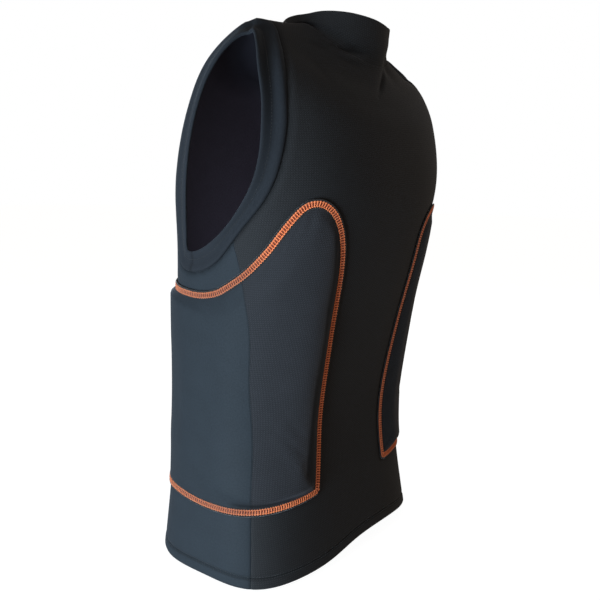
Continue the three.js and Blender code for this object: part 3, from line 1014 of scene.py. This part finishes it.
# Painted shade in the band's hollow and along its seam, a painted highlight on its folded edge and
# painted light on its front part; the joint is darker:
HOLLOW_PAINTED_SHADE = 0.40
HOLLOW_LEAST = 0.25
HOLLOW_PLACE = (0.36, 0.17)
EDGE_PAINTED_HIGHLIGHT = 0.20
EDGE_PLACE = (0.0, 0.09)
BAND_SEAM_PAINTED_SHADE = 0.60
SEAM_PLACE = (1.0, 0.030)
JOINT_DARKER = 0.45
FRONT_PAINTED_LIGHT = 0.16
FRONT_PLACE = (-5.0, 3.0)
band_step = np.arange(len(armhole_edge)) / BAND_STEPS
below_top = (band_step + len(ARMHOLE_EDGE) / 2) % len(ARMHOLE_EDGE) - len(ARMHOLE_EDGE) / 2
upper_back = hump(np.maximum(below_top, UPPER_BACK[0]), *UPPER_BACK)
upper_back = upper_back * ramp(below_top, 0, SHOULDER_STEP)
at_joint = hump(band_step, BAND_JOINT, JOINT_WIDTH)
guess_turn = np.radians(np.arange(-75, 80, 2.5))
guess_angle, guess_row = np.meshgrid(guess_turn, np.arange(3.2, 8.9, 0.1))
guess_view = side_view(form_point(guess_angle, guess_row)).reshape(-1, 2)
band_places = []
for share in BAND_SECTION[:, 0]:
    view = armhole_edge + (band_seam - armhole_edge) * share
    nearest = np.argmin(np.linalg.norm(guess_view[None] - view[:, None], axis=-1), axis=1)
    band_places.append(on_flank(view, guess_angle.ravel()[nearest], guess_row.ravel()[nearest]))


def band_line(station, right):
    """The line round the armhole at one place of the band's section, and the way out of it."""
    angle, row = band_places[station]
    share, lift, added = BAND_SECTION[station]
    around = math.pi - angle if right else angle
    past_lap = below_top + OVERLAP_SLANT * share
    overlap = hump(np.maximum(past_lap, 0), 0, OVERLAP_LENGTH)
    overlap = overlap * ramp(past_lap, 0, OVERLAP_STEP) * ramp(share, 1, OVERLAP_WIDTH)
    raised = lift + BAND_FLARE[right] * (added * upper_back + BAND_OVERLAP * overlap)
    raised = raised - JOINT_DEPTH * at_joint * (share > 0.01)
    return cloth_point(around, row, raised), form_frame(around, row)[2]


def armhole_band(name, right):
    """A band: painted shade in its hollow and seam, painted light on its edge and front, a dark
    joint.
    """
    grid = np.array([band_line(station, right)[0] for station in range(len(BAND_SECTION))])
    share = BAND_SECTION[:, :1]
    hollow = hump(share, *HOLLOW_PLACE) * (HOLLOW_LEAST + (1 - HOLLOW_LEAST) * upper_back)
    tone = 1 - HOLLOW_PAINTED_SHADE * hollow - JOINT_DARKER * at_joint
    tone = tone + EDGE_PAINTED_HIGHLIGHT * hump(share, *EDGE_PLACE) - BAND_SEAM_PAINTED_SHADE * hump(share, *SEAM_PLACE)
    tone = tone + FRONT_PAINTED_LIGHT * hump(below_top, *FRONT_PLACE)
    return closed_piece(name, grid, tone)


BINDING_COLOUR = (0.019, 0.022, 0.027)
BINDING_KNIT = (0.0009, 0.0008)
band_left = armhole_band("armhole_band_cloth_left", False)
band_right = armhole_band("armhole_band_cloth_right", True)
binding = cloth_finish("folded_binding_fabric", BINDING_COLOUR, BINDING_KNIT,
                       relief_size=0.3, roughness=0.72, sheen=0.08, tint=(0.8, 0.88, 1.0))
for piece, node in ((band_left, "armhole_band_left"), (band_right, "armhole_band_right")):
    piece.data.materials.append(binding)
    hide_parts(node)


# Orange seams
# A flat overlock seam in thick orange thread runs all round each pad. Slanted threads cross it from
# edge to edge over a bed of looper thread, coloured darker as painted shade, between two lines of
# needle stitches. Dark rolls beside it are painted shade.

SEAM_POINTS = 2500
SEAM_RIDE = PAD_CLEARANCE + 0.0006
EDGE_OFFSET = 0.0027
EDGE_INSET = 0.0002
EDGE_SWAY = 0.0005
EDGE_HEIGHT = 0.0001
EDGE_BEAT = 0.0004
STITCH_PITCH = 0.0030
RUNG_SLANT = np.array((0, 0.0004, 0.0008))
RUNG_ARCH = np.array((0.0002, 0.0005, 0.0002))
THREAD_RADIUS = 0.00060
BED_OFFSETS = (-0.0014, 0.0, 0.0014)
BED_HEIGHT = -0.0003
BED_RADIUS = 0.0008
# Dark rolls on both sides of the seam, as painted shade:
SHADE_ROLL_OFFSETS = (-0.0041, 0.0041)
SHADE_ROLL_HEIGHT = -0.0002
SHADE_ROLL_RADIUS = 0.0009


def even_loop(points, count):
    """A closed line resampled to points that lie evenly along it."""
    looped = np.vstack((points, points[:1]))
    reached = reached_along(looped)
    return points_at(np.arange(count) / count * reached[-1], reached, looped), reached[-1]


def thread_piece(name, paths, radius, finish):
    """Threads laid along paths, as one piece."""
    curve = bpy.data.curves.new(name, "CURVE")
    curve.dimensions = "3D"
    curve.bevel_depth = radius
    curve.bevel_resolution = 1
    curve.use_fill_caps = True
    for path, closed in paths:
        spline = curve.splines.new("POLY")
        spline.points.add(len(path) - 1)
        places = np.hstack((path - SHOULDERS, np.ones((len(path), 1))))
        spline.points.foreach_set("co", places.ravel())
        spline.use_cyclic_u = closed
    holder = bpy.data.objects.new(name, curve)
    bpy.context.scene.collection.objects.link(holder)
    swept = holder.evaluated_get(bpy.context.evaluated_depsgraph_get())
    mesh = bpy.data.meshes.new_from_object(swept)
    mesh.name = name
    bpy.data.objects.remove(holder)
    bpy.data.curves.remove(curve)
    mesh.materials.clear()
    mesh.materials.append(finish)
    return new_piece(name, mesh)


THREAD_FIBRES = {"scale": 1800.0, "detail": 2.0}
THREAD_PATCHES = {"scale": 260.0, "detail": 2.0}
THREAD_BUMP = {"strength": 0.4, "depth": 0.0002}
# Painted shade towards the front of the threads and painted light towards the back, by depth:
PAINTED_LIGHT_DEPTHS = (0.020, 0.072)
PAINTED_LIGHT_LEVELS = (0.74, 1.60)


def thread_finish(name, colour, dark, roughness):
    """Spun thread: fine fibres, a colour that changes a little along it, and painted shade and light
    by depth.
    """
    material, shader, start = new_finish(name, "ShaderNodeTexCoord", {})
    place = Strand(start.outputs["Object"])
    fibre = noise(place, **THREAD_FIBRES)
    patch = noise(place, **THREAD_PATCHES)
    share = (fibre * 0.5 + patch * 0.9 - 0.25).math("MINIMUM", 1.0).math("MAXIMUM", 0.0)
    depth = place.node("ShaderNodeSeparateXYZ", None, {0: place}, 1)
    painted_light_by_depth = smooth_step(depth, *PAINTED_LIGHT_DEPTHS, *PAINTED_LIGHT_LEVELS)
    mixed = place.node("ShaderNodeVectorMath", {"operation": "SCALE"},
                       {0: mixed_colour(share, dark, colour), "Scale": painted_light_by_depth})
    set_surface(shader, mixed, roughness + fibre * 0.1, fibre, **THREAD_BUMP)
    shader.inputs["Specular IOR Level"].default_value = 0.35
    shader.inputs["Sheen Weight"].default_value = 0.3
    return material


orange = thread_finish("orange_thread", (0.70, 0.21, 0.072), (0.52, 0.105, 0.027), 0.55)
# The bed's looper thread is coloured darker than the crossing threads, as painted shade between
# them.
looper_in_painted_shade = thread_finish("orange_looper_thread_painted_shade", (0.26, 0.044, 0.012), (0.11, 0.018, 0.006), 0.7)
# The rolls beside the seam are coloured darker than the cloth, as painted shade.
shade_roll_cloth = thread_finish("seam_side_roll_painted_shade", (0.010, 0.008, 0.008), (0.004, 0.003, 0.003), 0.85)


def pad_seam(side, angle, row):
    """The seam round one pad: crossing threads, and the bed under them and rolls beside it in
    painted shade.
    """
    base, length = even_loop(cloth_point(angle, row, np.full_like(row, SEAM_RIDE)), SEAM_POINTS)
    tangent = np.roll(base, -1, axis=0) - np.roll(base, 1, axis=0)
    tangent /= np.linalg.norm(tangent, axis=1, keepdims=True)
    nearest = [pad_tree.find(point)[1] for point in base]
    out = form_frame(line_angle[nearest], line_row[nearest])[2]
    aside = np.cross(out, tangent)

    def seam_point(distance, offset, height):
        at = (distance / length * SEAM_POINTS) % SEAM_POINTS
        low = np.floor(at).astype(int) % SEAM_POINTS
        part = (at - np.floor(at))[:, None]
        place = base[low] * (1 - part) + base[(low + 1) % SEAM_POINTS] * part
        sideways = aside[low] * np.reshape(offset, (-1, 1))
        return place + sideways + out[low] * np.reshape(height, (-1, 1))

    count = round(length / STITCH_PITCH)
    pitch = length / count
    across = EDGE_OFFSET * np.array((-1, 0, 1))
    threads = [(seam_point(number * pitch + RUNG_SLANT, across, RUNG_ARCH), False)
               for number in range(count)]
    around = np.arange(0, length, STITCH_PITCH / 4)
    beat = np.cos(around / pitch * math.tau)
    sway = EDGE_OFFSET - EDGE_INSET + EDGE_SWAY * beat
    height = EDGE_HEIGHT + EDGE_BEAT * beat
    threads += [(seam_point(around, edge * sway, height), True) for edge in (-1, 1)]
    bed = [(seam_point(around, offset, BED_HEIGHT), True) for offset in BED_OFFSETS]
    shade_rolls = [(seam_point(around, offset, SHADE_ROLL_HEIGHT), True) for offset in SHADE_ROLL_OFFSETS]
    thread_piece("orange_seam_" + side, threads, THREAD_RADIUS, orange)
    thread_piece("orange_seam_bed_" + side, bed, BED_RADIUS, looper_in_painted_shade)
    thread_piece("seam_shade_roll_" + side, shade_rolls, SHADE_ROLL_RADIUS, shade_roll_cloth)


for side, angle, row in zip(("left", "right"), np.split(line_angle, 2), np.split(line_row, 2)):
    pad_seam(side, angle, row)


# Topstitching
# The turned hem is held by two close rows of black lockstitch, and each armhole band by one row
# along its hollow. Each stitch is a short thread that dips into the cloth at both ends.

STITCH_LENGTH = 0.0034
STITCH_SHARE = 0.72
STITCH_RADIUS = 0.00035
STITCH_ARCH = np.array((-0.0003, 0.0001, -0.0003))[:, None]
STITCH_STATION = 8
HEM_STITCH_ROWS = (0.0110, 0.0140)


def stitch_row(points, outs):
    """Stitches along a closed line that lies on the cloth."""
    looped = np.vstack((points, points[:1]))
    looped_outs = np.vstack((outs, outs[:1]))
    reached = reached_along(looped)
    rows = []
    for number in range(round(reached[-1] / STITCH_LENGTH)):
        at = STITCH_LENGTH * (number + STITCH_SHARE * np.array((0, 0.5, 1)))
        place, out = (points_at(at, reached, line) for line in (looped, looped_outs))
        rows.append((place + out * STITCH_ARCH, False))
    return rows


hem_turn = np.radians(np.arange(0, 360, 1.0))
hem_edge = form_point(hem_turn, np.zeros_like(hem_turn))[:, 2]
hem_rows = []
for above in HEM_STITCH_ROWS:
    row = row_at_height(hem_turn, hem_edge + above)
    lift = np.full_like(row, dip(above - HEM_TURN, *HEM_STITCH_DIP))
    hem_rows += stitch_row(cloth_point(hem_turn, row, lift), form_frame(hem_turn, row)[2])
black_thread = thread_finish("black_thread", (0.007, 0.008, 0.009), (0.003, 0.003, 0.004), 0.8)
hem_stitches = thread_piece("hem_stitches", hem_rows, STITCH_RADIUS, black_thread)
for right, name in enumerate(("band_stitches_left", "band_stitches_right")):
    band_rows = stitch_row(*band_line(STITCH_STATION, right))
    stitches = thread_piece(name, band_rows, STITCH_RADIUS, black_thread)


# Studio
# A white floor inside a white dome, a soft light low on the wearer's left, weaker fills round the
# vest and one inside it, and a camera behind the wearer's left arm, at the height of the chest.

FLOOR_GAP = 0.004
FLOOR_SIZE = 6.0
WALL_RADIUS = 5.5
floor_z = float(cad_low.z) - FLOOR_GAP
floor = bmesh.new()
bmesh.ops.create_grid(floor, x_segments=1, y_segments=1, size=FLOOR_SIZE)
bmesh.ops.translate(floor, vec=(0, 0, floor_z), verts=floor.verts)
wall = bmesh.new()
bmesh.ops.create_uvsphere(wall, u_segments=48, v_segments=24, radius=WALL_RADIUS)
bmesh.ops.reverse_faces(wall, faces=wall.faces)
for name, bm, albedo, glow in (("studio_floor", floor, 0.22, 0.96), ("studio_wall", wall, 0.0, 1.0)):
    mesh = new_mesh(bm, name)
    stage_piece = bpy.data.objects.new(name, mesh)
    bpy.context.scene.collection.objects.link(stage_piece)
    material, shader, _ = new_finish(name, "ShaderNodeTexCoord", {})
    shader.inputs["Base Color"].default_value = (albedo, albedo, albedo, 1)
    shader.inputs["Roughness"].default_value = 0.9
    shader.inputs["Specular IOR Level"].default_value = 0
    shader.inputs["Emission Color"].default_value = (1, 1, 1, 1)
    shader.inputs["Emission Strength"].default_value = glow
    mesh.materials.append(material)
    stage_piece.visible_diffuse = False
    stage_piece.visible_glossy = False
    stage_piece.visible_shadow = False

world = bpy.data.worlds.new("studio")
bpy.context.scene.world = world
world.use_nodes = True
background = world.node_tree.nodes["Background"]
background.inputs["Color"].default_value = (1.0, 0.84, 0.70, 1)
background.inputs["Strength"].default_value = 0.20
bpy.context.scene.view_settings.view_transform = "Standard"

CAMERA_PLACE = Vector((0.7923, 0.5770, -0.1260))
CAMERA_LOOK = Vector((-0.7845, -0.5912, -0.1874)).normalized()
CAMERA_ROLL = math.radians(1.5)
level = CAMERA_LOOK.cross(Vector((0, 0, 1))).normalized()
upright = level.cross(CAMERA_LOOK)
right = level * math.cos(CAMERA_ROLL) + upright * math.sin(CAMERA_ROLL)
up = upright * math.cos(CAMERA_ROLL) - level * math.sin(CAMERA_ROLL)
camera_data = bpy.data.cameras.new("camera")
camera_data.sensor_width = 36
camera_data.lens = 48.9
camera = bpy.data.objects.new("camera", camera_data)
bpy.context.scene.collection.objects.link(camera)
camera_turn = Matrix((right, up, -CAMERA_LOOK)).transposed().to_4x4()
camera.matrix_world = Matrix.Translation(CAMERA_PLACE) @ camera_turn
bpy.context.scene.camera = camera

for name, place, aim, power, width, colour in (
    # places in metres, power in watts
    ("key_light", (0.98, -0.02, -0.52), (0.10, 0.0, -0.36), 16, 0.5, (0.66, 0.84, 1.0)),
    ("far_fill", (-1.7, 0.7, 0.15), (0, 0.05, -0.3), 3, 1.0, (1.0, 0.92, 0.84)),
    ("inside_fill", (0.03, 0.055, -0.26), (-0.10, -0.09, -0.22), 0.085, 0.05, (0.86, 0.84, 1.0)),
    ("top_fill", (1.0, 0.3, 1.1), (0, 0.05, -0.2), 5, 1.0, (0.85, 0.93, 1.0)),
    ("front_fill", (-1.2, -1.2, 0.1), (0, 0, -0.3), 9, 1.0, (0.92, 0.96, 1.0)),
):
    light_data = bpy.data.lights.new(name, "AREA")
    light_data.energy = power
    light_data.size = width
    light_data.color = colour
    light = bpy.data.objects.new(name, light_data)
    bpy.context.scene.collection.objects.link(light)
    light.location = place
    light.visible_camera = False
    light.rotation_mode = "QUATERNION"
    light.rotation_quaternion = (Vector(aim) - Vector(place)).to_track_quat("-Z", "Y")
